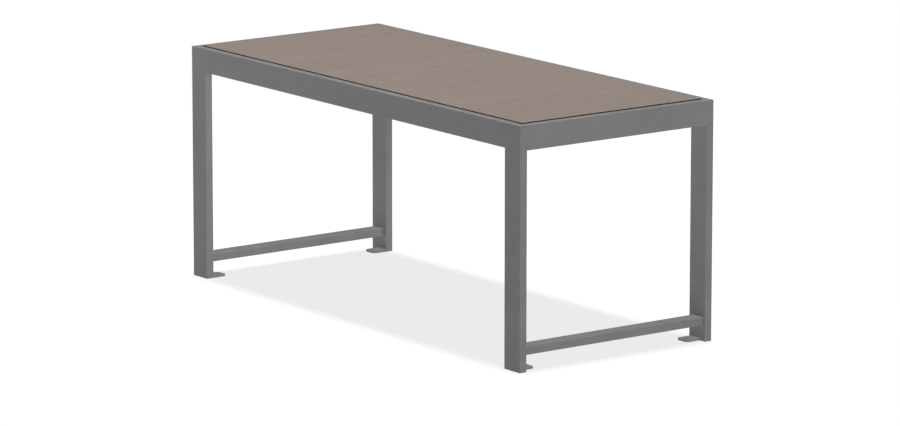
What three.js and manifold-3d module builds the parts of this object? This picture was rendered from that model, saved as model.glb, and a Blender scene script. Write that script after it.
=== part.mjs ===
// Harvest table with a top of short boards laid side by side across a welded tube frame.
//
// Millimetres, +Z up. X runs along the table and Y across it. The origin is on the floor
// under the middle of the top. Near is the -Y side, left is the -X end.
//
// Each long side is an upside-down U of one hollow tube, mitred at its two top corners.
// Two short aprons join the sides into a rim, and the boards lie inside that rim on
// angle ledges and rails, each held by a screw from below at both of its ends.

import {
  BufferAttribute, BufferGeometry, ExtrudeGeometry, Group, LatheGeometry, Matrix4,
  Mesh, MeshStandardMaterial, Path, Shape, Vector2, Vector3,
} from 'three';
import { mergeVertices } from 'three/addons/utils/BufferGeometryUtils.js';
import Module from 'manifold-3d';

// Table
const tableWidth = 736.6;
const rimHeight = 749.3;

// Boards of the top
const boardCount = 11;
const boardWidth = 152.5;
const boardThickness = 12.7;
const boardRise = 3.2;
const boardJoint = 0.3;
const boardEdgeGap = 1.5;

// Tube of the legs and the rim
const rimTubeWide = 76.2;
const rimTubeThick = 25.4;

// Tube of the end stretchers and the cross bearers, laid flat
const flatTubeWide = 50.8;
const flatTubeThick = 25.4;

// Wall of all tubes
const tubeWall = 3.2;

// Height of the end stretchers above the floor, and their way in from the legs' outer faces
const stretcherHeight = 50;
const stretcherSetback = 9;

// Angle that carries the boards
const angleSize = 25.4;
const angleWall = 3.2;
const angleFilletRadius = 3.2;
const angleToeRadius = 1.6;
const railSpacing = 228.6;
const weldGap = 0.3;

// Joints, counted out from the middle board, that the cross bearers lie under
const innerBearerJointCount = 2;
const outerBearerJointCount = 4;

// Tabs that anchor the legs to the floor
const tabWidth = 50.8;
const tabReach = 50.8;
const tabThickness = 6.4;
const tabCornerRadius = 12.7;
const anchorHoleRadius = 5.6;
const anchorHoleReach = 34;

// Plates that close the lower ends of the legs
const capThickness = 3.2;
const capRecess = 1.5;

// Board screws
const screwShankRadius = 2.4;
const screwPointLength = 2;
const screwHeadRadius = 4.7;
const screwHeadHeight = 3;
const screwHeadEdge = 1.6;
const screwHoleClearance = 0.4;
const pilotClearance = 0.15;
const pilotTipClearance = 1;

// Shares of the sizes that they follow
const pilotDepthShare = 0.78;
const screwCrownShare = 0.6;

// Faces round each small hole, each screw, each tab corner and each curve of an angle
const smallHoleSides = 12;
const screwSides = 12;
const angleCurveSegments = 4;
const anchorHoleSegments = 5;
const tabCornerSegments = 5;

// Sizes that follow
const innerWidth = tableWidth - 2 * rimTubeThick;
const innerLength = boardCount * boardWidth + (boardCount - 1) * boardJoint + 2 * boardEdgeGap;
const tableLength = innerLength + 2 * rimTubeThick;
const boardLength = innerWidth - 2 * boardEdgeGap;
const boardPitch = boardWidth + boardJoint;
const firstBoardX = (1 - boardCount) / 2 * boardPitch;
const boardCentres = Array.from({ length: boardCount }, (_, index) => firstBoardX + index * boardPitch);
const deckSeat = rimHeight + boardRise - boardThickness;
const bearerTop = deckSeat - angleSize;
const pilotDepth = boardThickness * pilotDepthShare;
const screwReach = angleWall + pilotDepth - pilotTipClearance;
const screwInset = (angleWall + angleSize) / 2;
const screwY = innerWidth / 2 - screwInset;

// Ends and sides, as signs along X and Y
const ends = { left: -1, right: 1 };
const sides = { near: -1, far: 1 };

// Rows of the cross bearers, by the joint that each lies under
const bearerRows = { inner: innerBearerJointCount, outer: outerBearerJointCount };

// Directions that a section or a length is laid along
const alongX = new Vector3(1, 0, 0);
const alongY = new Vector3(0, 1, 0);
const upward = new Vector3(0, 0, 1);

const wasm = await Module();
wasm.setup();

function frameFinish() {
  return new MeshStandardMaterial({ color: 0x727272, roughness: 0.5, metalness: 0.2 });
}

function laminateFinish() {
  return new MeshStandardMaterial({ color: 0x958a82, roughness: 0.55, metalness: 0 });
}

function zincFinish() {
  return new MeshStandardMaterial({ color: 0xb4b6b8, roughness: 0.35, metalness: 0.9 });
}

function boardNumber(index) {
  return String(index + 1).padStart(2, '0');
}

function namedMesh(name, geometry, material) {
  const mesh = new Mesh(geometry, material);
  mesh.name = name;
  return mesh;
}

// A closed geometry becomes a solid once only its positions are left and shared.
function toSolid(geometry) {
  const bare = geometry.clone();
  bare.deleteAttribute('normal');
  bare.deleteAttribute('uv');
  const shared = mergeVertices(bare);
  return new wasm.Manifold(new wasm.Mesh({
    numProp: 3,
    vertProperties: new Float32Array(shared.attributes.position.array),
    triVerts: new Uint32Array(shared.index.array),
  }));
}

function toGeometry(solid) {
  const mesh = solid.getMesh();
  const geometry = new BufferGeometry();
  geometry.setAttribute('position', new BufferAttribute(mesh.vertProperties, mesh.numProp));
  geometry.setIndex(new BufferAttribute(mesh.triVerts, 1));
  const flat = geometry.toNonIndexed();
  flat.computeVertexNormals();
  return flat;
}

// Every cutter is taken out of the geometry.
function cut(geometry, cutters) {
  const start = toSolid(geometry);
  const rest = cutters.reduce((solid, cutter) => solid.subtract(toSolid(cutter)), start);
  return toGeometry(rest);
}

// Local X and Y turn to the two given directions, and local Z to their cross product.
function lay(geometry, xTo, yTo) {
  const zTo = new Vector3().crossVectors(xTo, yTo);
  return geometry.applyMatrix4(new Matrix4().makeBasis(xTo, yTo, zTo));
}

function traceRectangle(outline, width, height) {
  outline.moveTo(-width / 2, -height / 2);
  outline.lineTo(width / 2, -height / 2);
  outline.lineTo(width / 2, height / 2);
  outline.lineTo(-width / 2, height / 2);
  outline.closePath();
  return outline;
}

// A section carried along Z, with half of its length on each side of the origin
function extrudeCentred(section, length, curveSegments) {
  const geometry = new ExtrudeGeometry(section, { depth: length, bevelEnabled: false, curveSegments });
  return geometry.translate(0, 0, -length / 2);
}

function plate(width, depth, thickness) {
  return extrudeCentred(traceRectangle(new Shape(), width, depth), thickness);
}

// A rectangular tube along Z, open at both ends, its wide side along X
function tube(length, wide, thick) {
  const section = traceRectangle(new Shape(), wide, thick);
  const bore = traceRectangle(new Path(), wide - 2 * tubeWall, thick - 2 * tubeWall);
  section.holes.push(bore);
  return extrudeCentred(section, length);
}

// The chosen end of a tube leans back one for one across its wide side, from full
// length at the heel (sign of X) to a tube's width less at the other side.
function mitre(geometry, end, heel, wide) {
  const position = geometry.attributes.position;
  for (let i = 0; i < position.count; i += 1) {
    const z = position.getZ(i);
    if (Math.sign(z) === end) {
      const lean = wide / 2 - heel * position.getX(i);
      position.setZ(i, z - end * lean);
    }
  }
  geometry.computeVertexNormals();
  return geometry;
}

// Each leg's top end is mitred down towards the middle of the table.
function leg(side, end) {
  const heel = ends[end];
  const geometry = mitre(tube(rimHeight, rimTubeWide, rimTubeThick), 1, heel, rimTubeWide);
  const mesh = namedMesh(`leg_${side}_${end}`, geometry, frameFinish());
  mesh.position.set(heel * (tableLength - rimTubeWide) / 2, 0, rimHeight / 2);
  return mesh;
}

// The long apron is full length at the top and mitred to both legs.
function longApron(side) {
  const blank = tube(tableLength, rimTubeWide, rimTubeThick);
  const mitred = mitre(mitre(blank, 1, 1, rimTubeWide), -1, 1, rimTubeWide);
  const geometry = lay(mitred, upward, alongY.clone().negate());
  const mesh = namedMesh(`long_apron_${side}`, geometry, frameFinish());
  mesh.position.z = rimHeight - rimTubeWide / 2;
  return mesh;
}

// One long side: an apron and its two legs in one plane
function sideFrame(side) {
  const group = new Group();
  group.position.y = sides[side] * (tableWidth - rimTubeThick) / 2;
  group.add(longApron(side));
  for (const end of Object.keys(ends)) group.add(leg(side, end));
  return group;
}

function endApron(end) {
  const geometry = lay(tube(innerWidth, rimTubeWide, rimTubeThick), upward, alongX);
  const mesh = namedMesh(`end_apron_${end}`, geometry, frameFinish());
  mesh.position.set(
    ends[end] * (tableLength - rimTubeThick) / 2,
    0,
    rimHeight - rimTubeWide / 2,
  );
  return mesh;
}

// A flat tube across the table, between the inner faces of the long sides
function flatTubeAcross(name) {
  const geometry = tube(innerWidth, flatTubeWide, flatTubeThick);
  return namedMesh(name, lay(geometry, alongX.clone().negate(), upward), frameFinish());
}

// Each stretcher meets the wide sides of its legs, a little nearer to their outer faces.
function endStretcher(end) {
  const mesh = flatTubeAcross(`end_stretcher_${end}`);
  mesh.position.x = ends[end] * (tableLength / 2 - stretcherSetback - flatTubeWide / 2);
  mesh.position.z = stretcherHeight + flatTubeThick / 2;
  return mesh;
}

// The bearers run under the rails and meet the long aprons. Each lies under a joint of
// the boards, where it leaves the way to the screws free.
function crossBearer(end, row) {
  const mesh = flatTubeAcross(`cross_bearer_${end}_${row}`);
  mesh.position.x = ends[end] * (bearerRows[row] - 1 / 2) * boardPitch;
  mesh.position.z = bearerTop - flatTubeThick / 2;
  return mesh;
}

// An angle section hangs from its corner: one leg level along X, one down along Y. Both
// toes are rounded on their inner side, and a fillet fills the inner corner.
function angleSection() {
  const toe = angleSize - angleToeRadius;
  const toeCentre = angleWall - angleToeRadius;
  const filletCentre = angleWall + angleFilletRadius;
  const section = new Shape();
  section.moveTo(0, 0);
  section.lineTo(0, -angleSize);
  section.lineTo(toeCentre, -angleSize);
  section.absarc(toeCentre, -toe, angleToeRadius, -Math.PI / 2, 0, false);
  section.lineTo(angleWall, -filletCentre);
  section.absarc(filletCentre, -filletCentre, angleFilletRadius, Math.PI, Math.PI / 2, true);
  section.lineTo(toe, -angleWall);
  section.absarc(toe, -toeCentre, angleToeRadius, -Math.PI / 2, 0, false);
  section.lineTo(angleSize, 0);
  section.closePath();
  return section;
}

function holeCutter(radius, bottom, top) {
  const section = new Shape();
  section.absarc(0, 0, radius, 0, 2 * Math.PI, false);
  const geometry = extrudeCentred(section, top - bottom, smallHoleSides / 2);
  return geometry.translate(0, 0, (top + bottom) / 2);
}

// An angle under the boards, its corner on the origin, its level leg towards the middle
function angleBar(side) {
  const inward = alongY.clone().multiplyScalar(-sides[side]);
  const bar = extrudeCentred(angleSection(), innerLength - 2 * weldGap, angleCurveSegments);
  return lay(bar, inward, upward);
}

// A ledge along each long apron carries the boards' ends, with a screw hole for each.
function ledge(side) {
  const hole = holeCutter(screwShankRadius + screwHoleClearance, -2 * angleWall, angleWall);
  const row = boardCentres.map((x) => hole.clone().translate(x, -sides[side] * screwInset, 0));
  const mesh = namedMesh(`ledge_${side}`, cut(angleBar(side), row), frameFinish());
  mesh.position.set(0, sides[side] * innerWidth / 2, deckSeat);
  return mesh;
}

// Two rails share the middle of the span, on top of the cross bearers.
function deckRail(side) {
  const mesh = namedMesh(`deck_rail_${side}`, angleBar(side), frameFinish());
  mesh.position.set(0, sides[side] * railSpacing / 2, deckSeat);
  return mesh;
}

// A pan-head screw stands on its head's bearing face.
function screwGeometry() {
  const outline = [
    new Vector2(0, -screwHeadHeight),
    new Vector2(screwHeadRadius * screwCrownShare, -screwHeadHeight),
    new Vector2(screwHeadRadius, -screwHeadEdge),
    new Vector2(screwHeadRadius, 0),
    new Vector2(screwShankRadius, 0),
    new Vector2(screwShankRadius, screwReach - screwPointLength),
    new Vector2(0, screwReach),
  ];
  return lay(new LatheGeometry(outline, screwSides), alongX, upward);
}

// A board screw's head bears on the underside of its ledge.
function boardScrew(side, index) {
  const mesh = namedMesh(`screw_${side}_${boardNumber(index)}`, screwGeometry(), zincFinish());
  mesh.position.set(boardCentres[index], sides[side] * screwY, deckSeat - angleWall);
  return mesh;
}

// A board lies across the table, drilled from below for its two screws.
function board(index) {
  const pilot = holeCutter(screwShankRadius + pilotClearance, -pilotDepth, pilotDepth);
  const pilots = Object.values(sides).map((sign) => pilot.clone().translate(0, sign * screwY, 0));
  const blank = plate(boardWidth, boardLength, boardThickness).translate(0, 0, boardThickness / 2);
  const mesh = namedMesh(`top_board_${boardNumber(index)}`, cut(blank, pilots), laminateFinish());
  mesh.position.set(boardCentres[index], 0, deckSeat);
  return mesh;
}

// The tab's outline runs from the leg's face along Y to a tip with two round corners.
function tabOutline() {
  const half = tabWidth / 2;
  const r = tabCornerRadius;
  const outline = new Shape();
  outline.moveTo(-half, 0);
  outline.lineTo(half, 0);
  outline.lineTo(half, tabReach - r);
  outline.absarc(half - r, tabReach - r, r, 0, Math.PI / 2, false);
  outline.lineTo(-half + r, tabReach);
  outline.absarc(-half + r, tabReach - r, r, Math.PI / 2, Math.PI, false);
  outline.closePath();
  return outline;
}

// The anchor hole goes round in four quarter arcs.
function tabPlate() {
  const outline = tabOutline();
  const hole = new Path();
  for (const quarter of [0, 1, 2, 3]) {
    const start = quarter * Math.PI / 2;
    hole.absarc(0, anchorHoleReach, anchorHoleRadius, start, start + Math.PI / 2, false);
  }
  outline.holes.push(hole);
  return extrudeCentred(outline, tabThickness, Math.max(anchorHoleSegments, tabCornerSegments));
}

// Each tab stands against its leg's inner face, flush with the leg's inner edge.
function footTab(side, end) {
  const inward = alongY.clone().multiplyScalar(-sides[side]);
  const across = new Vector3().crossVectors(inward, upward);
  const geometry = lay(tabPlate(), across, inward);
  const mesh = namedMesh(`foot_tab_${side}_${end}`, geometry, frameFinish());
  mesh.position.set(
    ends[end] * (tableLength / 2 - rimTubeWide + tabWidth / 2),
    sides[side] * innerWidth / 2,
    tabThickness / 2,
  );
  return mesh;
}

// A closing plate is welded into the leg a little above its lower end.
function legCap(side, end) {
  const margin = 2 * (tubeWall + weldGap);
  const geometry = plate(rimTubeWide - margin, rimTubeThick - margin, capThickness);
  const mesh = namedMesh(`leg_cap_${side}_${end}`, geometry, frameFinish());
  mesh.position.set(
    ends[end] * (tableLength - rimTubeWide) / 2,
    sides[side] * (tableWidth - rimTubeThick) / 2,
    capRecess + capThickness / 2,
  );
  return mesh;
}

function weldedFrame() {
  const group = new Group();
  for (const side of Object.keys(sides)) {
    group.add(sideFrame(side));
    for (const end of Object.keys(ends)) {
      group.add(footTab(side, end));
      group.add(legCap(side, end));
    }
  }
  for (const end of Object.keys(ends)) {
    group.add(endApron(end));
    group.add(endStretcher(end));
  }
  return group;
}

function boardSupports() {
  const group = new Group();
  for (const side of Object.keys(sides)) {
    group.add(ledge(side));
    group.add(deckRail(side));
  }
  for (const end of Object.keys(ends)) {
    for (const row of Object.keys(bearerRows)) group.add(crossBearer(end, row));
  }
  return group;
}

function boardTop() {
  const group = new Group();
  for (let index = 0; index < boardCount; index += 1) {
    group.add(board(index));
    for (const side of Object.keys(sides)) group.add(boardScrew(side, index));
  }
  return group;
}

const table = new Group();
table.add(weldedFrame(), boardSupports(), boardTop());

export default table;
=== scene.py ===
"""Finished look of a harvest table: eased tubes, laid boards, screws, welds and a plain studio.

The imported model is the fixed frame. Every new piece takes its place and size from a node
of that frame, in metres, and stands for it.
"""

import math

import bpy
import numpy as np
from bpy.props import FloatProperty, FloatVectorProperty, IntProperty, PointerProperty
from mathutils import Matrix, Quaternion, Vector


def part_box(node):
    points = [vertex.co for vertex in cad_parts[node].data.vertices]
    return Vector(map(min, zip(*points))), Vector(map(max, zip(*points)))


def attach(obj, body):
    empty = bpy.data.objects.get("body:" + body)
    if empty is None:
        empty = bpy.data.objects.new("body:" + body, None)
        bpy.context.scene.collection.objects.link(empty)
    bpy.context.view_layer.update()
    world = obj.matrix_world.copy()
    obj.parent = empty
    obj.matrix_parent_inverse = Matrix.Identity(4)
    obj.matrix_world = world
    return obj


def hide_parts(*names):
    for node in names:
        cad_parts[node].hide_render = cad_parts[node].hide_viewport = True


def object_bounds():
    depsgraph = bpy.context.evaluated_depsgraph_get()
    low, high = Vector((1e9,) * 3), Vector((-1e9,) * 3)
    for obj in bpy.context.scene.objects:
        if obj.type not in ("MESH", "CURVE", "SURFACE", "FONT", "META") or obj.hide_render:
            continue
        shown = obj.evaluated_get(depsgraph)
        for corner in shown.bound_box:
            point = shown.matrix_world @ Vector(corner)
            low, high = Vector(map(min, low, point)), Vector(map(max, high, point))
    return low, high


bl_info = {
    "name": "Harvest table",
    "version": (1, 0, 0),
    "blender": (4, 5, 0),
    "location": "View3D > Sidebar > Table",
    "description": "Finishes the pieces of a harvest table and sets a plain studio round it",
    "category": "Object",
}

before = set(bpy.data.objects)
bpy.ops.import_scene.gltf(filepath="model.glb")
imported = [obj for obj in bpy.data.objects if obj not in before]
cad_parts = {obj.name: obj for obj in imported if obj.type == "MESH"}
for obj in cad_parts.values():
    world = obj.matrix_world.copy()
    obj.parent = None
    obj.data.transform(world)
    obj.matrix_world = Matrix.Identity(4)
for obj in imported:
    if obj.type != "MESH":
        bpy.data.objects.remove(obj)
cad_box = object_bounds()

BODY = "root"
ENDS = {"left": -1, "right": 1}
SIDES = {"near": -1, "far": 1}
CORNERS = [(side, SIDES[side], end, ENDS[end]) for side in SIDES for end in ENDS]
BEARER_ROWS = ("inner", "outer")
BOARD_NODES = sorted(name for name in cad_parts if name.startswith("top_board_"))
SCREW_NODES = sorted(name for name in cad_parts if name.startswith("screw_"))
CAD_PAINTED = ("leg_cap_", "ledge_", "deck_rail_")
EDGE_SHARE = "edge_share"

WHITE = (1.0, 1.0, 1.0, 1.0)

# Stations of a tube that are closer than this are one, and the least length to divide by
PLACE_DIGITS = 7
SAME_PLACE = 1e-7
LEAST_LENGTH = 1e-12

# Weight of the normals, at which a piece's largest faces stay flat
LARGE_FACES_FIRST = 100

X_AXIS = np.array((1.0, 0.0, 0.0))
Y_AXIS = np.array((0.0, 1.0, 0.0))
Z_AXIS = np.array((0.0, 0.0, 1.0))

# Corners of a section, by the side of its width and of its thickness that each is on
CORNER_SIGNS = np.array(((1, 1), (-1, 1), (-1, -1), (1, -1)))
CORNER_COUNT = len(CORNER_SIGNS)

# Spots of each noise to a metre, along X, Y and Z where there are three numbers
CLOUD_SPOTS = 11.0
STREAK_SPOTS = (6.0, 6.0, 26.0)
FINE_PEEL_SPOTS = 700.0
BROAD_PEEL_SPOTS = 190.0
PATCH_SPOTS = 34.0
FIGURE_SPOTS = (42.0, 3.2, 1.0)
FIBRE_SPOTS = (420.0, 9.0, 1.0)
PORE_SPOTS = (900.0, 42.0, 1.0)
CLUSTER_SPOTS = (1.0, 9.0, 1.0)
NICK_SPOTS = (1.0, 110.0, 1.0)
STAIN_SPOTS = 260.0
MARK_SPOTS = 3200.0

# Where a noise's mask begins, how steeply it rises from there, and how ragged it is
MEAN_NOISE = 0.5
PORE_LEVEL, PORE_RISE = 0.62, 6.0
NICK_LEVEL, NICK_RISE = 0.94, 14.0
PATCH_RISE, PATCH_RAGGED = 8.0, 0.65

# Share of the noise that is blended with another or added to it
STREAK_SHARE = 0.4
BROAD_PEEL_SHARE = 0.3
FIBRE_SHARE = 0.6
PORE_SHARE = 0.5
CLUSTER_SHARE = 0.7

# How much a noise changes the roughness, how high it stands in the relief, and how strong
# each relief is
CLOUD_ROUGHNESS, PEEL_ROUGHNESS = 0.12, 0.1
FIBRE_ROUGHNESS, PORE_ROUGHNESS = 0.12, 0.1
FIBRE_RELIEF, PORE_RELIEF = 0.6, 0.8
PEEL_STRENGTH, WOOD_STRENGTH, MARK_STRENGTH = 0.7, 0.6, 0.4

# Where the boards' own tones are drawn from, and how far the grain moves from board to board
TONE_SEED = 0.37
SHIFT_Y, SHIFT_Z = 3.7, 1.3


def length(name, default, description):
    """A length of a piece, shown in the scene's unit of length."""
    return FloatProperty(
        name=name, description=description, default=default, min=0, precision=5,
        unit="LENGTH", subtype="DISTANCE",
    )


def share(name, default, description):
    """A plain number from 0 to 1."""
    return FloatProperty(name=name, description=description, default=default, min=0, max=1)


def tint(name, default, description):
    """A colour in linear light."""
    return FloatVectorProperty(
        name=name, description=description, default=default, min=0, max=1, size=3,
        subtype="COLOR",
    )


def strength(name, default, description):
    """How bright a light, a sky or a floor is."""
    return FloatProperty(name=name, description=description, default=default, min=0)


def count(name, default, description, least=1):
    """A number of points, faces, rows or lobes."""
    return IntProperty(name=name, description=description, default=default, min=least)


def angle(name, degrees, description):
    """An angle that is given here in degrees."""
    return FloatProperty(
        name=name, description=description, default=math.radians(degrees), subtype="ANGLE",
    )


def place(name, default, description):
    """A point in the table's frame."""
    return FloatVectorProperty(
        name=name, description=description, default=default, size=3,
        unit="LENGTH", subtype="TRANSLATION",
    )


def direction(name, default, description):
    """A direction from the table to a light."""
    return FloatVectorProperty(
        name=name, description=description, default=default, size=3, subtype="DIRECTION",
    )


class TubeSettings(bpy.types.PropertyGroup):
    wall: length("Wall", 0.0032, "Wall of every tube")
    edge_radius: length("Edge radius", 0.0008, "Radius of the long edges and the mitred corners")
    bore_radius: length("Bore radius", 0.0004, "Radius of the edges inside a tube")
    seam_radius: length("Seam radius", 0.00002, "Radius where an edge is welded and ground flush")
    seam_blend: length("Seam blend", 0.0012, "Length over which an edge turns from eased to flush")
    cut_radius: length("Cut radius", 0.0004, "Radius of the cut edges at the feet")
    arc_steps: count("Arc steps", 4, "Faces round each edge")


class TabSettings(bpy.types.PropertyGroup):
    corner_radius: length("Corner radius", 0.0127, "Radius of the two corners at the tip")
    hole_radius: length("Hole radius", 0.0056, "Radius of the anchor hole")
    hole_reach: length("Hole reach", 0.034, "From the leg's inner face to the middle of the hole")
    edge_radius: length("Edge radius", 0.0006, "Radius of the plate's edges")
    steps: count("Steps", 72, "Points round the plate", least=24)
    corner_steps: count("Corner steps", 8, "Steps round each corner at the tip")
    side_wear: share("Side wear", 0.3, "How rubbed the plate's sides are against its edges")


class WeldSettings(bpy.types.PropertyGroup):
    foot_leg: length("Foot bead", 0.0022, "Size of the bead between a tab and its leg")
    hidden_leg: length("Hidden bead", 0.003, "Size of the beads under the boards")
    ripple_pitch: length("Ripple pitch", 0.0016, "Distance between two ripples of a bead")
    ripple: share("Ripple", 0.07, "Height of a ripple against the bead's size")
    stitch: length("Stitch", 0.03, "Length of one stitch along the ledges")
    ripple_rows: count("Ripple rows", 5, "Rows of points to each ripple")
    arc_steps: count("Arc steps", 6, "Faces across a bead")
    bow: share("Bow", 0.5, "How far a ripple's crest bends forward, in ripples")
    tip: share("Tip", 0.03, "Size of a bead at its very ends")
    standoff: share("Standoff", 0.02, "From the corner to a bead's back, against its size")
    bulge: FloatProperty(
        name="Bulge", description="1 gives a round bead and 2 a flat one",
        default=1.45, min=1, max=2,
    )


class BoardSettings(bpy.types.PropertyGroup):
    arris: length("Arris", 0.0003, "Radius of a board's edges")
    end_arris: share("End arris", 0.2, "Least radius at a board's ends, against the arris")
    arc_steps: count("Arc steps", 2, "Faces round each edge")
    decor: length("Decor sheet", 0.0002, "Thickness of the coloured sheet on both faces")
    face: tint("Face", (0.174, 0.143, 0.124), "Mean colour of the boards' faces")
    core: tint("Core", (0.022, 0.017, 0.014), "Colour of the core at the boards' edges")
    core_spread: share("Core spread", 0.2, "How much the core differs from its mean colour")
    grain: share("Grain", 0.209, "How much the grain darkens and lightens the face")
    tone: share("Tone", 0.0176, "How much one board differs from the next")
    edge_line: length("Edge line", 0.00008, "Width of the core that shows along every long edge")
    chip: length("Chip", 0.0011, "Greatest width of the small nicks along the long edges")
    roughness: share("Roughness", 0.55, "Roughness of the face")
    relief: length("Relief", 0.00006, "Height of the face's relief")
    specular: share("Specular", 0.25, "How strongly the face mirrors")


class ScrewSettings(bpy.types.PropertyGroup):
    columns: count("Columns", 36, "Points round a screw", least=3)
    head_height: length("Head height", 0.003, "Height of the pan head")
    crown_height: length("Crown height", 0.0016, "Height of the head's rounded part")
    crown_flat: share("Crown flat", 0.42, "Share of the head's radius that is flat")
    crown_steps: count("Crown steps", 5, "Faces over the head's rounded part")
    shank_radius: length("Shank radius", 0.0024, "Radius over the thread")
    thread_start: length("Thread start", 0.0002, "From under the head to the thread")
    thread_depth: length("Thread depth", 0.0005, "Depth of the thread")
    thread_pitch: length("Thread pitch", 0.0018, "Rise of the thread in one turn")
    thread_rows: count("Thread rows", 6, "Rows of points to each turn of the thread")
    thread_wide: share("Thread width", 0.625, "Width of the thread's ridge, in turns")
    recess_radius: length("Recess radius", 0.0016, "Mean radius of the drive recess")
    recess_depth: length("Recess depth", 0.0017, "Depth of the drive recess")
    rim: length("Rim", 0.00015, "Width of the recess's eased rim")
    rim_depth: length("Rim depth", 0.0001, "Depth of the recess's eased rim")
    lobes: count("Lobes", 6, "Lobes of the recess")
    lobe: share("Lobe", 0.13, "Height of a lobe against the recess's radius")
    point: length("Point", 0.002, "Length of the point")
    tip: share("Tip", 0.04, "Radius of the point's end against the shank's")
    color: tint("Zinc", (0.56, 0.57, 0.585), "Colour of the zinc coat")
    stain: share("Stain", 0.16, "How dark a stain is")
    shine: share("Shine", 0.08, "How bright the clean coat is")
    roughness: share("Roughness", 0.26, "Least roughness of the coat")
    dull: share("Dull", 0.16, "How much rougher the dullest coat is")
    marks: length("Marks", 0.00002, "Depth of the turning marks")


class PaintSettings(bpy.types.PropertyGroup):
    color: tint("Paint", (0.15, 0.15, 0.15), "Mean colour of the powder coat")
    mottle: share("Mottle", 0.18, "How much the coat darkens and lightens from its mean")
    roughness: share("Roughness", 0.46, "Mean roughness of the coat")
    peel: length("Peel", 0.00022, "Height of the coat's orange peel")
    worn: tint("Worn paint", (0.25, 0.25, 0.247), "Colour of the coat where an edge is rubbed")
    rub: share("Rub", 0.8, "How far a rubbed edge goes towards the worn colour")
    polish: share("Polish", 0.1, "How much smoother a rubbed edge is")
    index: strength("Index", 1.5, "Refraction of the coat")


class StageSettings(bpy.types.PropertyGroup):
    camera_place: place("Camera", (13.7073, -10.1641, 3.7781), "Where the camera stands")
    azimuth: angle("Azimuth", 53.397, "Turn of the view from straight along +Y")
    elevation: angle("Elevation", 11.516, "How far the view looks down")
    roll: angle("Roll", 0.025, "Turn of the camera about its view")
    lens: FloatProperty(name="Lens", description="Focal length in mm", default=222.46, min=1)
    sensor: FloatProperty(name="Sensor", description="Width of the sensor in mm", default=36, min=1)
    floor_size: length("Floor", 160.0, "Width of the floor")
    floor_glow: strength("Floor glow", 0.803, "Light that the floor gives off by itself")
    floor_color: tint("Floor colour", (0.02, 0.02, 0.02), "Light that the floor returns")
    backdrop: strength("Backdrop", 1.0, "Brightness that the camera sees beyond the floor")
    overhead: strength("Overhead", 9.8, "Light from overhead that falls on the floor alone")
    overhead_direction: direction("Overhead direction", (-0.015, 0.014, 1.0), "Where it stands")
    overhead_width: angle("Overhead width", 6.2, "How wide the floor sees it")
    sky_high: strength("Sky", 0.06, "Brightness of the sky")
    sky_low: strength("Low sky", 0.45, "Brightness from below")
    key: strength("Key", 0.675, "Broad low light from the right")
    key_direction: direction("Key direction", (0.97, -0.25, 0.12), "Where the key stands")
    key_width: angle("Key width", 20, "How wide the table sees it")
    front_power: strength("Front fill", 25.5, "Power of the soft box at the left front, in watts")
    front_place: place("Front fill", (-2.4, -2.1, 1.8), "Where the front fill stands")
    front_size: length("Front fill size", 1.4, "Width of the front fill")
    top_power: strength("Top fill", 404.0, "Power of the soft box over the table, in watts")
    top_place: place("Top fill", (0.1, 0.0, 5.5), "Where the top fill stands")
    top_size: length("Top fill size", 3.0, "Width of the top fill")
    back: strength("Back", 0.35, "Level light from behind at the left")
    back_direction: direction("Back direction", (-0.72, 0.69, -0.04), "Where the back light stands")
    back_width: angle("Back width", 4, "How wide the table sees it")


SETTINGS = {
    "table_tubes": TubeSettings,
    "table_tabs": TabSettings,
    "table_welds": WeldSettings,
    "table_boards": BoardSettings,
    "table_screws": ScrewSettings,
    "table_paint": PaintSettings,
    "table_stage": StageSettings,
}


class Value:
    """A number in a shader. An expression with it adds the Math nodes that work it out."""

    def __init__(self, shader, socket):
        self.shader = shader
        self.socket = socket

    def math(self, operation, *values):
        """Joins values by one Math node."""
        return self.shader.add("ShaderNodeMath", {"operation": operation}, dict(enumerate(values)))

    def __add__(self, other):
        return self.math("ADD", self, other)

    def __radd__(self, other):
        return self.math("ADD", other, self)

    def __sub__(self, other):
        return self.math("SUBTRACT", self, other)

    def __rsub__(self, other):
        return self.math("SUBTRACT", other, self)

    def __mul__(self, other):
        return self.math("MULTIPLY", self, other)

    def __rmul__(self, other):
        return self.math("MULTIPLY", other, self)

    def __truediv__(self, other):
        return self.math("DIVIDE", self, other)

    def __gt__(self, other):
        return self.math("GREATER_THAN", self, other)

    def __lt__(self, other):
        return self.math("LESS_THAN", self, other)

    def floor(self):
        return self.math("FLOOR", self)

    def unsigned(self):
        return self.math("ABSOLUTE", self)

    def at_least(self, other):
        return self.math("MAXIMUM", self, other)

    def at_most(self, other):
        return self.math("MINIMUM", self, other)


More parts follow.
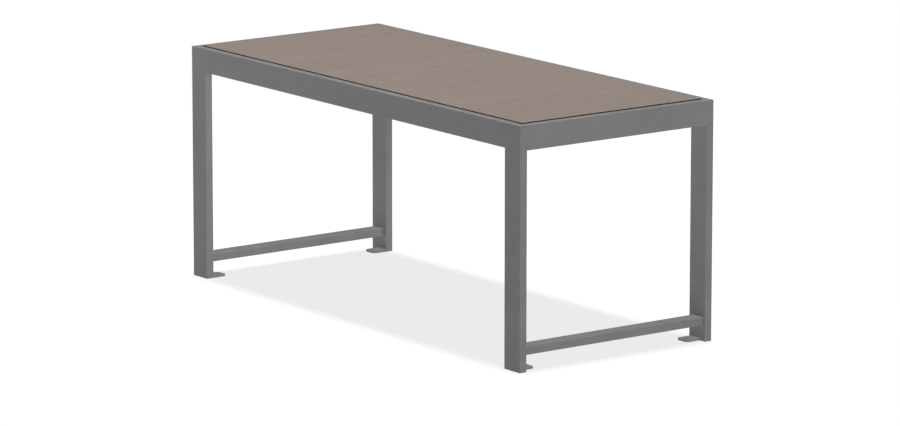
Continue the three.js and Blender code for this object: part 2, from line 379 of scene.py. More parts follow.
class Shader:
    """The node tree of a material or of the world, filled by one method."""

    def __init__(self, owner):
        owner.use_nodes = True
        self.tree = owner.node_tree
        self.tree.nodes.clear()

    def add(self, kind, settings=None, sockets=None, output=0):
        """Adds a node, sets it, fills its sockets with numbers or links, and gives one output."""
        node = self.tree.nodes.new(kind)
        for name, value in (settings or {}).items():
            setattr(node, name, value)
        for key, value in (sockets or {}).items():
            if isinstance(value, Value):
                self.tree.links.new(value.socket, node.inputs[key])
            else:
                node.inputs[key].default_value = value
        outputs = node.outputs
        return Value(self, outputs[output]) if len(outputs) else None

    def coordinates(self):
        return self.add("ShaderNodeTexCoord", output="Object")

    def stretched(self, vector, scale):
        """The vector with each part multiplied by its own number."""
        return self.add(
            "ShaderNodeVectorMath", {"operation": "MULTIPLY"}, {0: vector, 1: scale},
        )

    def noise(self, vector, scale, detail=2.0, roughness=0.5):
        return self.add(
            "ShaderNodeTexNoise", None,
            {"Vector": vector, "Scale": scale, "Detail": detail, "Roughness": roughness},
        )

    def separate(self, vector, part):
        return self.add("ShaderNodeSeparateXYZ", None, {"Vector": vector}, part)

    def mix(self, factor, first, second):
        """A colour between two others, by the Mix node's colour sockets."""
        return self.add("ShaderNodeMix", {"data_type": "RGBA"}, {0: factor, 6: first, 7: second}, 2)

    def bump(self, height, distance, amount):
        return self.add(
            "ShaderNodeBump", None, {"Height": height, "Distance": distance, "Strength": amount},
            "Normal",
        )

    def surface(self, sockets):
        """Ends the tree with a Principled surface."""
        shading = self.add("ShaderNodeBsdfPrincipled", None, sockets)
        self.add("ShaderNodeOutputMaterial", None, {"Surface": shading})


def scaled(color, factor):
    """The colour made lighter or darker, with the alpha that a shader's socket takes."""
    return (*(part * factor for part in color), 1.0)


def powder_coat():
    """Grey powder coat: soft clouds of tone, long faint streaks and fine orange peel.

    Where a piece says that a point lies on an eased edge, the coat is rubbed lighter there,
    in patches.
    """
    paint = bpy.context.scene.table_paint
    material = bpy.data.materials.new("powder_coat")
    shader = Shader(material)
    coordinates = shader.coordinates()
    clouds = shader.noise(coordinates, CLOUD_SPOTS, detail=3.0)
    streaks = shader.noise(shader.stretched(coordinates, STREAK_SPOTS), 1.0)
    tone = clouds * (1 - STREAK_SHARE) + streaks * STREAK_SHARE
    fine = shader.noise(coordinates, FINE_PEEL_SPOTS, detail=1.0)
    broad = shader.noise(coordinates, BROAD_PEEL_SPOTS)
    peel = fine * (1 - BROAD_PEEL_SHARE) + broad * BROAD_PEEL_SHARE
    dark = scaled(paint.color, 1 - paint.mottle)
    light = scaled(paint.color, 1 + paint.mottle)
    coat = shader.mix(tone, dark, light)
    edge = shader.add("ShaderNodeAttribute", {"attribute_name": EDGE_SHARE}, output="Fac")
    patches = shader.noise(coordinates, PATCH_SPOTS, detail=4.0, roughness=PATCH_RAGGED)
    rubbed = ((patches - MEAN_NOISE) * PATCH_RISE).at_least(0).at_most(1) * edge
    uneven = (clouds - MEAN_NOISE) * CLOUD_ROUGHNESS
    pitted = (peel - MEAN_NOISE) * PEEL_ROUGHNESS
    shader.surface({
        "Base Color": shader.mix(rubbed * paint.rub, coat, scaled(paint.worn, 1)),
        "Roughness": paint.roughness + uneven + pitted - rubbed * paint.polish,
        "Normal": shader.bump(peel, paint.peel, PEEL_STRENGTH),
        "IOR": paint.index,
    })
    return material


def laminate():
    """Boards of wood decor over a dark core.

    The grain runs along the boards: broad figure, fine fibres and short dark pores, each a
    noise that is stretched along Y. Between the two decor sheets the board's edge is core,
    which also shows in small nicks of the upper face, in groups along the joints.
    """
    boards = bpy.context.scene.table_boards
    low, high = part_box(BOARD_NODES[0])
    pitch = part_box(BOARD_NODES[1])[0].x - low.x
    high_of_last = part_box(BOARD_NODES[-1])[1].x
    material = bpy.data.materials.new("wood_laminate")
    shader = Shader(material)
    coordinates = shader.coordinates()
    across = shader.separate(coordinates, "X")
    height = shader.separate(coordinates, "Z")
    number = ((across - low.x) / pitch).floor()
    own = shader.add(
        "ShaderNodeTexWhiteNoise", {"noise_dimensions": "1D"}, {"W": number + TONE_SEED}, "Value",
    )
    shift = shader.add("ShaderNodeCombineXYZ", None, {"Y": number * SHIFT_Y, "Z": number * SHIFT_Z})
    shifted = shader.add("ShaderNodeVectorMath", {"operation": "ADD"}, {0: coordinates, 1: shift})
    figure = shader.noise(shader.stretched(shifted, FIGURE_SPOTS), 1.0, detail=3.0)
    fibres = shader.noise(shader.stretched(shifted, FIBRE_SPOTS), 1.0, detail=3.0)
    pores = shader.noise(shader.stretched(shifted, PORE_SPOTS), 1.0, detail=1.0)
    pore_mask = ((pores - PORE_LEVEL) * PORE_RISE).at_least(0)
    grain = figure * (1 - FIBRE_SHARE) + fibres * FIBRE_SHARE - pore_mask * PORE_SHARE
    grain = grain + (own - MEAN_NOISE) * (boards.tone / boards.grain)
    dark = scaled(boards.face, 1 - boards.grain)
    light = scaled(boards.face, 1 + boards.grain)
    face = shader.mix(grain, dark, light)
    wide = high.x - low.x
    from_middle = (across - low.x - number * pitch - wide / 2).unsigned()
    from_edge = wide / 2 - from_middle
    clusters = shader.noise(shader.stretched(shifted, CLUSTER_SPOTS), 1.0)
    nicks = shader.noise(shader.stretched(shifted, NICK_SPOTS), 1.0, detail=1.0)
    past_level = nicks + clusters * CLUSTER_SHARE - NICK_LEVEL
    nicked = (past_level * NICK_RISE).at_least(0).at_most(1)
    at_joint = across.unsigned() < high_of_last - wide / 2
    between = at_joint * (height > high.z - boards.decor) * nicked
    worn_edge = from_edge < between * boards.chip + boards.edge_line
    inside = (height < high.z - boards.decor) * (height > low.z + boards.decor)
    core_mask = inside.at_least(worn_edge)
    dark_core = scaled(boards.core, 1 - boards.core_spread)
    core = shader.mix(fibres, dark_core, scaled(boards.core, 1 + boards.core_spread))
    relief = fibres * FIBRE_RELIEF - pore_mask * PORE_RELIEF
    uneven = (fibres - MEAN_NOISE) * FIBRE_ROUGHNESS
    shader.surface({
        "Base Color": shader.mix(core_mask, face, core),
        "Roughness": boards.roughness + uneven + pore_mask * PORE_ROUGHNESS,
        "Normal": shader.bump(relief, boards.relief, WOOD_STRENGTH),
        "Specular IOR Level": boards.specular,
    })
    return material


def zinc():
    """Bright zinc coat of the screws, with a faint stain and fine turning marks."""
    screws = bpy.context.scene.table_screws
    material = bpy.data.materials.new("zinc_coat")
    shader = Shader(material)
    coordinates = shader.coordinates()
    stain = shader.noise(coordinates, STAIN_SPOTS)
    marks = shader.noise(coordinates, MARK_SPOTS, detail=1.0)
    dark = scaled(screws.color, 1 - screws.stain)
    shader.surface({
        "Base Color": shader.mix(stain, dark, scaled(screws.color, 1 + screws.shine)),
        "Metallic": 1.0,
        "Roughness": screws.roughness + stain * screws.dull,
        "Normal": shader.bump(marks, screws.marks, MARK_STRENGTH),
    })
    return material


def material_once(make):
    """The material that a function makes, made only once."""
    name = {powder_coat: "powder_coat", laminate: "wood_laminate", zinc: "zinc_coat"}[make]
    return bpy.data.materials.get(name) or make()


def signed_volume(points, faces):
    """Sum of the tetrahedra from the origin to each face, cut into a fan of triangles."""
    total = 0.0
    for corners in faces:
        corners = np.asarray(corners)
        first = points[corners[:, 0]]
        for k in range(1, corners.shape[1] - 1):
            second = points[corners[:, k]]
            third = points[corners[:, k + 1]]
            total += np.einsum("ij,ij->", first, np.cross(second, third)) / 6
    return total


def mark_edges(piece, shares):
    """Keeps for each point of a piece how far it is up an eased edge, from 0 to 1."""
    marks = piece.data.attributes.new(EDGE_SHARE, "FLOAT", "POINT")
    marks.data.foreach_set("value", np.ascontiguousarray(shares, dtype=np.float32).ravel())


def grid_piece(name, points, close_along, sharp_degrees=35):
    """A closed mesh over a grid of points, rows along the piece and columns round it.

    Columns always close on themselves. Rows close on themselves too, as on a ring, or
    else the first and last rows each get a flat cap. Faces are turned outwards by the
    sign of the volume that they enclose.
    """
    rows, columns = points.shape[:2]
    index = np.arange(rows * columns).reshape(rows, columns)
    below = index if close_along else index[:-1]
    above = np.roll(index, -1, axis=0) if close_along else index[1:]
    quads = np.stack(
        (below, np.roll(below, -1, axis=1), np.roll(above, -1, axis=1), above), axis=-1,
    ).reshape(-1, 4)
    faces = [quads] if close_along else [quads, index[:1, ::-1], index[-1:]]
    flat_points = points.reshape(-1, 3)
    if signed_volume(flat_points, faces) < 0:
        faces = [corners[:, ::-1] for corners in faces]
    mesh = bpy.data.meshes.new(name)
    mesh.from_pydata(flat_points.tolist(), [], [row for part in faces for row in part.tolist()])
    mesh.polygons.foreach_set("use_smooth", np.ones(len(mesh.polygons), bool))
    mesh.set_sharp_from_angle(angle=math.radians(sharp_degrees))
    mesh.update()
    piece = bpy.data.objects.new(name, mesh)
    bpy.context.scene.collection.objects.link(piece)
    weighted = piece.modifiers.new("Flat faces", "WEIGHTED_NORMAL")
    weighted.keep_sharp = True
    weighted.weight = LARGE_FACES_FIRST
    return piece


def finish_piece(piece, make_material, slot, *nodes):
    """Gives a piece its material and its body, and hides the nodes that it stands for. The slot is
    not used.
    """
    piece.data.materials.append(material_once(make_material))
    if nodes:
        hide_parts(*nodes)
    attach(piece, BODY)
    return piece


def section_rows(half_wide, half_thick, inset, radii, steps):
    """Rounded rectangles, one row for each station, as two arrays of coordinates.

    Each corner is a quarter circle about a point that lies its radius inside both sides,
    and the whole section is drawn in by the station's inset.
    """
    turn = np.linspace(0, math.pi / 2, steps + 1)
    around = (np.arange(CORNER_COUNT) * math.pi / 2)[:, None] + turn
    radius = radii[:, :, None]
    drawn_in = inset[:, None, None]
    wide = CORNER_SIGNS[:, 0, None] * (half_wide - drawn_in - radius) + radius * np.cos(around)
    thick = CORNER_SIGNS[:, 1, None] * (half_thick - drawn_in - radius) + radius * np.sin(around)
    return wide.reshape(len(inset), -1), thick.reshape(len(inset), -1)


def eased_corner(along, wide, along_edge, wide_edge, radius):
    """Rounds the outer corner where a mitred end meets the heel.

    Inside the square of the radius at that corner, a point moves on its ray from the
    square's inner corner until the square's outline lies on a quarter circle.
    """
    sign = np.sign(along_edge - along.mean())
    past_along = (along - (along_edge - sign * radius)) * sign
    past_wide = wide - (wide_edge - radius)
    inside = (past_along > 0) & (past_wide > 0)
    reach = np.maximum(past_along, past_wide)
    shrink = np.where(inside, reach / np.maximum(np.hypot(past_along, past_wide), LEAST_LENGTH), 1)
    along = np.where(inside, along_edge - sign * radius + sign * past_along * shrink, along)
    wide = np.where(inside, wide_edge - radius + past_wide * shrink, wide)
    return along, wide


def tube_points(size, mitres, cut_end, seams, seam_corner):
    """Points of a hollow tube, as a ring of stations: out along it and back through its bore.

    size is (length, wide, thick). mitres says for the start and the end whether it leans
    back one for one from the heel, the wide side that keeps the full length. seams are
    stretches, from and to, where the seam corner is ground flush with what is welded to it.
    """
    tubes = bpy.context.scene.table_tubes
    whole, wide_size, thick_size = size
    eased = tubes.edge_radius
    blend = tubes.seam_blend
    stations = [0.0, whole]
    if cut_end:
        stations += [tubes.cut_radius]
    for start, end in seams:
        stations += [x for x in (start - blend, start, end, end + blend) if 0 < x < whole]
    for mitre, edge, inward in ((mitres[0], 0.0, 1), (mitres[1], whole, -1)):
        if mitre:
            stations += [edge + inward * eased, edge + inward * eased / 2]
    out = np.unique(np.round(stations, PLACE_DIGITS))
    inset = np.zeros(len(out))
    radii = np.full((len(out), CORNER_COUNT), eased)
    for start, end in seams:
        flush = (out >= start - SAME_PLACE) & (out <= end + SAME_PLACE)
        radii[flush, seam_corner] = tubes.seam_radius
    if cut_end:
        out = np.insert(out, 1, tubes.cut_radius * (1 - math.sin(math.pi / 4)))
        inset = np.insert(inset, 1, tubes.cut_radius * (1 - math.cos(math.pi / 4)))
        inset[0] = tubes.cut_radius
        radii = np.insert(radii, 1, radii[0], axis=0)
    shares = np.append(out, (whole, 0.0)) / whole
    inset = np.append(inset, (tubes.wall, tubes.wall))
    radii = np.vstack((radii, np.full((2, CORNER_COUNT), tubes.bore_radius)))
    wide, thick = section_rows(wide_size / 2, thick_size / 2, inset, radii, tubes.arc_steps)
    lean = wide_size / 2 - wide
    start = lean * mitres[0]
    end = whole - lean * mitres[1]
    along = start + shares[:, None] * (end - start)
    if mitres[0]:
        along, wide = eased_corner(along, wide, 0.0, wide_size / 2, eased)
    if mitres[1]:
        along, wide = eased_corner(along, wide, whole, wide_size / 2, eased)
    return along, wide, thick


def tube_edges(shape):
    """Shares of a tube's points: a half sine over each rounded edge, and none in the bore."""
    steps = bpy.context.scene.table_tubes.arc_steps
    over_edge = np.sin(np.linspace(0, math.pi, steps + 1))
    shares = np.broadcast_to(np.tile(over_edge, CORNER_COUNT), shape).copy()
    shares[-2:] = 0
    return shares


def laid(along, wide, thick, start, axes):
    """Points of a piece whose own three directions are laid along the given axes."""
    return (
        start
        + along[..., None] * axes[0]
        + wide[..., None] * axes[1]
        + thick[..., None] * axes[2]
    )


def tube_piece(node, axes, mitres=(0, 0), cut_end=False, seams=(), seam_corner=0):
    """One tube over its node's box, its length, width and thickness along the given axes."""
    low, high = (np.array(corner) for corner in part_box(node))
    size = [abs(float(np.dot(high - low, axis))) for axis in axes]
    start = (low + high) / 2 - axes[0] * size[0] / 2
    along, wide, thick = tube_points(size, mitres, cut_end, seams, seam_corner)
    piece = grid_piece(f"{node}_tube", laid(along, wide, thick, start, axes), True)
    mark_edges(piece, tube_edges(along.shape))
    return finish_piece(piece, powder_coat, "frame", node)


def make_side_frames():
    """Legs and long aprons, mitred to each other, with a flush seam where an end apron joins."""
    for side, side_sign in SIDES.items():
        inner_corner = CORNER_SIGNS.tolist().index([1, -side_sign])
        apron_low, apron_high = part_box(f"long_apron_{side}")
        joined = apron_high.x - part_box("end_apron_right")[0].x
        whole = apron_high.x - apron_low.x
        tube_piece(
            f"long_apron_{side}", (X_AXIS, Z_AXIS, Y_AXIS), (1, 1),
            seams=((0.0, joined), (whole - joined, whole)), seam_corner=inner_corner,
        )
        for end, end_sign in ENDS.items():
            tube_piece(
                f"leg_{side}_{end}", (Z_AXIS, X_AXIS * end_sign, Y_AXIS), (0, 1), True,
                seams=((apron_low.z, apron_high.z),), seam_corner=inner_corner,
            )


def make_cross_tubes():
    """End aprons, end stretchers and cross bearers, all cut square."""
    for end in ENDS:
        tube_piece(f"end_apron_{end}", (Y_AXIS, Z_AXIS, X_AXIS))
        tube_piece(f"end_stretcher_{end}", (Y_AXIS, X_AXIS, Z_AXIS))
        for row in BEARER_ROWS:
            tube_piece(f"cross_bearer_{end}_{row}", (Y_AXIS, X_AXIS, Z_AXIS))


def tab_outline(half_wide, reach, radius):
    """A tab's outline, evenly spaced: square at the leg, two round corners at the tip."""
    tabs = bpy.context.scene.table_tabs
    turn = np.linspace(0, math.pi / 2, tabs.corner_steps + 1)
    across = half_wide - radius
    along = reach - radius
    right = np.column_stack((across + radius * np.cos(turn), along + radius * np.sin(turn)))
    left = np.column_stack((-across - radius * np.sin(turn), along + radius * np.cos(turn)))
    corners = np.vstack(((-half_wide, 0), (half_wide, 0), right, left, (-half_wide, 0)))
    travelled = np.append(0, np.cumsum(np.hypot(*np.diff(corners, axis=0).T)))
    even = np.linspace(0, travelled[-1], tabs.steps, endpoint=False)
    kept = np.unique(np.concatenate((even, travelled[1:2])))[:tabs.steps]
    return np.column_stack([np.interp(kept, travelled, corners[:, k]) for k in range(2)])


def make_foot_tabs():
    """Anchor tabs: a plate with eased edges and a through hole, as a ring of rows.

    The rows go up the hole's wall, out over the top face, down the outline and back
    under the plate. Every point of the hole lies on the ray to its point of the full outline.
    """
    tabs = bpy.context.scene.table_tabs
    ease = tabs.edge_radius
    bend = ease * (1 - math.sqrt(0.5))
    wear = (0, 1, tabs.side_wear, tabs.side_wear, 1, 0)
    shares = np.array(wear + wear)[:, None]
    for side, side_sign, end, _ in CORNERS:
        node = f"foot_tab_{side}_{end}"
        low, high = (np.array(corner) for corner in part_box(node))
        wide, reach, thick = high - low
        insets = np.array((ease, bend, 0, 0, bend, ease))
        down = (thick, thick - bend, thick - ease, ease, bend, 0)
        outlines = [
            tab_outline(wide / 2 - inset, reach - inset, tabs.corner_radius - inset)
            for inset in insets
        ]
        centre = np.array((0, tabs.hole_reach))
        ray = outlines[np.argmin(insets)] - centre
        ray = ray / np.hypot(*ray.T)[:, None]
        holes = [centre + ray * (tabs.hole_radius + flare) for flare in insets]
        flat = np.stack(holes + outlines)
        heights = np.array(down[::-1] + down)[:, None]
        height = np.broadcast_to(heights, flat.shape[:2])
        root = np.array(((low[0] + high[0]) / 2, low[1] if side_sign < 0 else high[1], low[2]))
        axes = (X_AXIS, -side_sign * Y_AXIS, Z_AXIS)
        points = laid(flat[..., 0], flat[..., 1], height, root, axes)
        piece = grid_piece(f"{node}_plate", points, True)
        mark_edges(piece, np.broadcast_to(shares, flat.shape[:2]))
        finish_piece(piece, powder_coat, "frame", node)


def bead_piece(name, corner, run, first, second, size):
    """A fillet bead along a corner, starting at corner and going along run.

    Its section bulges between a leg along first and a leg along second. Ripples follow
    each other along it as bent crests, and both of its ends taper off in a round nose.
    """
    welds = bpy.context.scene.table_welds
    whole = float(np.linalg.norm(run))
    direction = run / whole
    rows = int(whole / welds.ripple_pitch * welds.ripple_rows) + 2
    spot = np.linspace(0, 1, rows)[:, None]
    turn = np.linspace(0, math.pi / 2, welds.arc_steps + 1)[None, :]
    bent = spot * whole / welds.ripple_pitch + welds.bow * np.sin(2 * turn)
    crest = np.abs(np.sin(math.pi * bent)) * np.sin(2 * turn)
    nose = np.sqrt(1 - np.abs(2 * spot - 1) ** (whole / size)) * (1 - welds.tip) + welds.tip
    radius = size * nose * (1 - welds.ripple + welds.ripple * crest)
    over_first = radius * np.cos(turn) ** welds.bulge
    over_second = radius * np.sin(turn) ** welds.bulge
    back = np.full((rows, 1), size * welds.standoff)
    along = np.broadcast_to(spot * whole, (rows, turn.shape[1] + 1))
    points = laid(
        along, np.hstack((over_first, back)), np.hstack((over_second, back)), corner,
        (direction, first, second),
    )
    piece = grid_piece(name, points, False, sharp_degrees=60)
    return finish_piece(piece, powder_coat, "frame")


def make_tab_welds():
    """A bead on each foot tab, along the inner face of its leg."""
    size = bpy.context.scene.table_welds.foot_leg
    margin = 2 * size
    for side, side_sign, end, _ in CORNERS:
        low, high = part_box(f"foot_tab_{side}_{end}")
        face = low.y if side_sign < 0 else high.y
        start = np.array((low.x + margin, face, high.z))
        run = np.array((high.x - low.x - 2 * margin, 0, 0))
        name = f"weld_foot_tab_{side}_{end}"
        bead_piece(name, start, run, -side_sign * Y_AXIS, Z_AXIS, size)


def make_bearer_welds():
    """A bead under both ends of each cross bearer, against the long apron."""
    size = bpy.context.scene.table_welds.hidden_leg
    for side, side_sign, end, _ in CORNERS:
        for row in BEARER_ROWS:
            low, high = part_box(f"cross_bearer_{end}_{row}")
            face = low.y if side_sign < 0 else high.y
            start = np.array((low.x + size, face, low.z))
            run = np.array((high.x - low.x - 2 * size, 0, 0))
            name = f"weld_bearer_{side}_{end}_{row}"
            bead_piece(name, start, run, -side_sign * Y_AXIS, -Z_AXIS, size)


def make_ledge_welds():
    """Stitches under each ledge, one under the middle of each second board."""
    welds = bpy.context.scene.table_welds
    for side, side_sign in SIDES.items():
        low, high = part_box(f"ledge_{side}")
        face = low.y if side_sign < 0 else high.y
        for k, board in enumerate(BOARD_NODES[::2]):
            board_low, board_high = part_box(board)
            middle = (board_low.x + board_high.x) / 2
            start = np.array((middle - welds.stitch / 2, face, low.z))
            run = np.array((welds.stitch, 0, 0))
            name = f"weld_ledge_{side}_{k + 1:02d}"
            bead_piece(name, start, run, -side_sign * Y_AXIS, -Z_AXIS, welds.hidden_leg)


def make_corner_welds():
    """An upright bead in each inner corner of the rim, below the ledges."""
    size = bpy.context.scene.table_welds.hidden_leg
    for side, side_sign, end, end_sign in CORNERS:
        low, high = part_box(f"end_apron_{end}")
        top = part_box(f"ledge_{side}")[0].z
        face_x = low.x if end_sign > 0 else high.x
        face_y = low.y if side_sign < 0 else high.y
        start = np.array((face_x, face_y, low.z + size))
        run = np.array((0, 0, top - low.z - 2 * size))
        name = f"weld_corner_{side}_{end}"
        bead_piece(name, start, run, -end_sign * X_AXIS, -side_sign * Y_AXIS, size)


def make_boards():
    """Boards as bars with a fine arris on all edges, each closed by flat ends."""
    boards = bpy.context.scene.table_boards
    arris = boards.arris
    bend = arris * (1 - math.sqrt(0.5))
    for node in BOARD_NODES:
        low, high = (np.array(corner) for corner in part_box(node))
        size = high - low
        out = np.array((0, bend, arris))
        along = np.concatenate((out, size[1] - out[::-1]))
        inset = np.array((arris, bend, 0, 0, bend, arris))
        radius = np.maximum(arris - inset, arris * boards.end_arris)
        radii = radius[:, None].repeat(CORNER_COUNT, axis=1)
        wide, thick = section_rows(size[0] / 2, size[2] / 2, inset, radii, boards.arc_steps)
        start = (low + high) / 2 - Y_AXIS * size[1] / 2
        rows = np.broadcast_to(along[:, None], wide.shape)
        points = laid(rows, wide, thick, start, (Y_AXIS, X_AXIS, Z_AXIS))
        piece = grid_piece(f"{node}_laminate", points, False)
        finish_piece(piece, laminate, "laminate", node)


def screw_profile(head_radius, whole):
    """Radius and height of a screw's rows, from its recess's floor to its point.

    The recess's wall has lobes, a cosine of a multiple of the angle. The crown is a quarter
    ellipse. The thread is a ridge whose phase climbs by a pitch in a turn.
    """
    screws = bpy.context.scene.table_screws
    around = np.arange(screws.columns) * 2 * math.pi / screws.columns
    lobed = screws.recess_radius * (1 + screws.lobe * np.cos(screws.lobes * around))
    eased = lobed + screws.rim
    wall = [(lobed, screws.recess_depth), (lobed, screws.rim_depth), (eased, 0.0)]
    turn = np.linspace(0, math.pi / 2, screws.crown_steps + 1)
    flat = head_radius * screws.crown_flat
    crown_radius = flat + (head_radius - flat) * np.sin(turn)
    crown_height = screws.crown_height * (1 - np.cos(turn))
    ring = np.ones(screws.columns)
    crown = [(ring * radius, height) for radius, height in zip(crown_radius, crown_height)]
    root = screws.shank_radius - screws.thread_depth
    seat = [(ring * head_radius, screws.head_height), (ring * root, screws.head_height)]
    first = screws.head_height + screws.thread_start
    heights = np.arange(first, whole, screws.thread_pitch / screws.thread_rows)
    left = np.clip((whole - heights) / screws.point, screws.tip, 1)
    phase = (heights[:, None] / screws.thread_pitch - around / (2 * math.pi)) % 1
    ridge = np.clip(1 - np.abs(phase - 0.5) / (screws.thread_wide / 2), 0, 1)
    thread = (root + screws.thread_depth * ridge) * left[:, None]
    rows = wall + crown + seat + list(zip(thread, heights))
    radius = np.array([row for row, _ in rows])
    height = np.array([level for _, level in rows])[:, None]
    return radius * np.cos(around), radius * np.sin(around), np.broadcast_to(height, radius.shape)


def make_screws():
    """Pan-head screws with a six-lobed recess and a thread, standing on their heads."""
    for node in SCREW_NODES:
        low, high = (np.array(corner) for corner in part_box(node))
        across, deep, height = screw_profile((high[0] - low[0]) / 2, high[2] - low[2])
        start = np.array(((low[0] + high[0]) / 2, (low[1] + high[1]) / 2, low[2]))
        points = laid(across, deep, height, start, (X_AXIS, Y_AXIS, Z_AXIS))
        piece = grid_piece(f"{node}_pan_head", points, False)
        finish_piece(piece, zinc, "zinc", node)


def paint_cad_nodes():
    """The nodes that stay as they are get the frame's coat."""
    for name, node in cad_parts.items():
        if name.startswith(CAD_PAINTED):
            node.data.materials.clear()
            node.data.materials.append(material_once(powder_coat))


def make_camera(stage):
    """A camera at the photograph's place, looking along its azimuth and elevation."""
    data = bpy.data.cameras.new("Camera")
    data.lens = stage.lens
    data.sensor_width = stage.sensor
    data.clip_end = stage.floor_size
    camera = bpy.data.objects.new("Camera", data)
    camera.location = stage.camera_place
    back = Vector((
        math.sin(stage.azimuth) * math.cos(stage.elevation),
        -math.cos(stage.azimuth) * math.cos(stage.elevation),
        math.sin(stage.elevation),
    ))
    camera.rotation_mode = "QUATERNION"
    level = (-back).to_track_quat("-Z", "Y")
    camera.rotation_quaternion = level @ Quaternion((0, 0, 1), stage.roll)
    bpy.context.scene.collection.objects.link(camera)
    bpy.context.scene.camera = camera


def make_floor(stage):
    """A pale floor that glows, lights the table, and lets a view from below through."""
    half = stage.floor_size / 2
    corners = [(-half, -half, 0), (half, -half, 0), (half, half, 0), (-half, half, 0)]
    mesh = bpy.data.meshes.new("floor")
    mesh.from_pydata(corners, [], [(0, 1, 2, 3)])
    floor = bpy.data.objects.new("floor", mesh)
    bpy.context.scene.collection.objects.link(floor)
    material = bpy.data.materials.new("pale_floor")
    mesh.materials.append(material)
    shader = Shader(material)
    matte = shader.add("ShaderNodeBsdfDiffuse", None, {"Color": scaled(stage.floor_color, 1)})
    glow = shader.add("ShaderNodeEmission", None, {"Strength": stage.floor_glow})
    both = shader.add("ShaderNodeAddShader", None, {0: matte, 1: glow})
    clear = shader.add("ShaderNodeBsdfTransparent")
    under = shader.add("ShaderNodeNewGeometry", output="Backfacing")
    seen = shader.add("ShaderNodeMixShader", None, {0: under, 1: both, 2: clear})
    shader.add("ShaderNodeOutputMaterial", None, {"Surface": seen})
    floor.visible_glossy = False
    return floor


def make_sky(stage):
    """An even sky, another light from below, and a pale backdrop where the camera sees it."""
    world = bpy.data.worlds.new("sky")
    bpy.context.scene.world = world
    shader = Shader(world)
    direction = shader.add("ShaderNodeTexCoord", output="Generated")
    above = shader.separate(direction, "Z") > 0.0
    light = stage.sky_low + (stage.sky_high - stage.sky_low) * above
    seen = shader.add("ShaderNodeLightPath", output="Is Camera Ray")
    brightness = light + (stage.backdrop - light) * seen
    background = shader.add(
        "ShaderNodeBackground", None, {"Color": WHITE, "Strength": brightness},
    )
    shader.add("ShaderNodeOutputWorld", None, {"Surface": background})


def make_lamp(name, kind, spot, aim):
    """A lamp at a spot, turned to where it aims."""
    data = bpy.data.lights.new(name, kind)
    lamp = bpy.data.objects.new(name, data)
    lamp.location = spot
    lamp.rotation_mode = "QUATERNION"
    lamp.rotation_quaternion = (Vector(aim) - Vector(spot)).to_track_quat("-Z", "Y")
    bpy.context.scene.collection.objects.link(lamp)
    return lamp


def make_fills(stage):
    """Soft boxes that cast no shadow, since the photograph shows none on the frame."""
    low, high = cad_box
    middle = (low + high) / 2
    for name in ("front", "top"):
        spot = getattr(stage, f"{name}_place")
        lamp = make_lamp(f"{name}_fill", "AREA", spot, middle)
        lamp.data.shape = "SQUARE"
        lamp.data.size = getattr(stage, f"{name}_size")
        lamp.data.energy = getattr(stage, f"{name}_power")
        lamp.data.use_shadow = False


def make_sun(stage, name):
    """A distant light with the strength, direction and width that its settings give."""
    lamp = make_lamp(name, "SUN", getattr(stage, f"{name}_direction"), (0, 0, 0))
    lamp.data.energy = getattr(stage, name) * math.pi
    lamp.data.angle = getattr(stage, f"{name}_width")
    return lamp


def make_suns(stage, floor):
    """Three distant lights.

    The broad low key at the right reaches the legs' inner faces too. The level light behind
    the table lights only upright faces and casts no shadow. The one overhead falls on the
    floor alone, for the table's shadow.
    """
    make_sun(stage, "key").visible_glossy = False
    back = make_sun(stage, "back")
    back.data.use_shadow = False
    back.visible_glossy = False
    lit = bpy.data.collections.new("lit_from_overhead")
    lit.objects.link(floor)
    make_sun(stage, "overhead").light_linking.receiver_collection = lit


class HARVEST_OT_tubes(bpy.types.Operator):
    """Make the tubes of the legs, the rim, the stretchers and the bearers"""

    bl_idname = "harvest.tubes"
    bl_label = "Tubes"

    def execute(self, context):
        make_side_frames()
        make_cross_tubes()
        return {"FINISHED"}


class HARVEST_OT_foot_tabs(bpy.types.Operator):
    """Make the tabs that anchor the legs"""

    bl_idname = "harvest.foot_tabs"
    bl_label = "Foot tabs"

    def execute(self, context):
        make_foot_tabs()
        return {"FINISHED"}


class HARVEST_OT_welds(bpy.types.Operator):
    """Make the weld beads"""

    bl_idname = "harvest.welds"
    bl_label = "Welds"

    def execute(self, context):
        make_tab_welds()
        make_bearer_welds()
        make_ledge_welds()
        make_corner_welds()
        return {"FINISHED"}


class HARVEST_OT_boards(bpy.types.Operator):
    """Make the boards of the top"""

    bl_idname = "harvest.boards"
    bl_label = "Boards"

    def execute(self, context):
        make_boards()
        return {"FINISHED"}


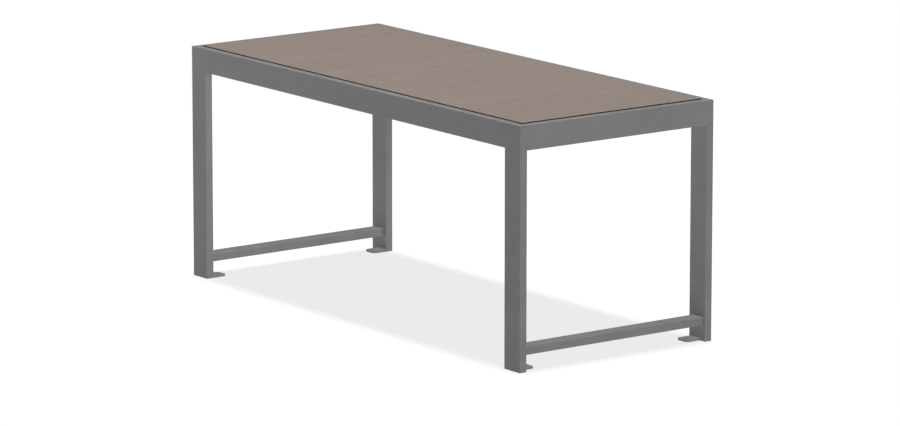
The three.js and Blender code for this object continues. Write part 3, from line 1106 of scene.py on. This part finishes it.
class HARVEST_OT_screws(bpy.types.Operator):
    """Make the screws that hold the boards"""

    bl_idname = "harvest.screws"
    bl_label = "Screws"

    def execute(self, context):
        make_screws()
        return {"FINISHED"}


class HARVEST_OT_supports(bpy.types.Operator):
    """Paint the ledges, the rails and the leg caps"""

    bl_idname = "harvest.supports"
    bl_label = "Supports"

    def execute(self, context):
        paint_cad_nodes()
        return {"FINISHED"}


class HARVEST_OT_stage(bpy.types.Operator):
    """Set the camera, the floor, the sky and the lights"""

    bl_idname = "harvest.stage"
    bl_label = "Stage"

    def execute(self, context):
        stage = context.scene.table_stage
        context.scene.view_settings.view_transform = "Standard"
        make_camera(stage)
        floor = make_floor(stage)
        make_sky(stage)
        make_fills(stage)
        make_suns(stage, floor)
        return {"FINISHED"}


OPERATORS = (
    HARVEST_OT_tubes,
    HARVEST_OT_foot_tabs,
    HARVEST_OT_welds,
    HARVEST_OT_boards,
    HARVEST_OT_screws,
    HARVEST_OT_supports,
    HARVEST_OT_stage,
)


class HARVEST_PT_table(bpy.types.Panel):
    """Lists the table's operators and settings"""

    bl_idname = "HARVEST_PT_table"
    bl_label = "Harvest table"
    bl_space_type = "VIEW_3D"
    bl_region_type = "UI"
    bl_category = "Table"

    def draw(self, context):
        layout = self.layout
        for operator in OPERATORS:
            layout.operator(operator.bl_idname)
        for name, settings in SETTINGS.items():
            column = layout.column(align=True)
            column.label(text=settings.__name__)
            for key in settings.__annotations__:
                column.prop(getattr(context.scene, name), key)


def register():
    for settings in SETTINGS.values():
        bpy.utils.register_class(settings)
    for name, settings in SETTINGS.items():
        setattr(bpy.types.Scene, name, PointerProperty(type=settings))
    for cls in (*OPERATORS, HARVEST_PT_table):
        bpy.utils.register_class(cls)


def unregister():
    for cls in reversed((*OPERATORS, HARVEST_PT_table)):
        bpy.utils.unregister_class(cls)
    for name in SETTINGS:
        delattr(bpy.types.Scene, name)
    for settings in reversed(SETTINGS.values()):
        bpy.utils.unregister_class(settings)


def main():
    register()
    for name in ("tubes", "foot_tabs", "welds", "boards", "screws", "supports", "stage"):
        getattr(bpy.ops.harvest, name)()


if __name__ == "__main__":
    main()
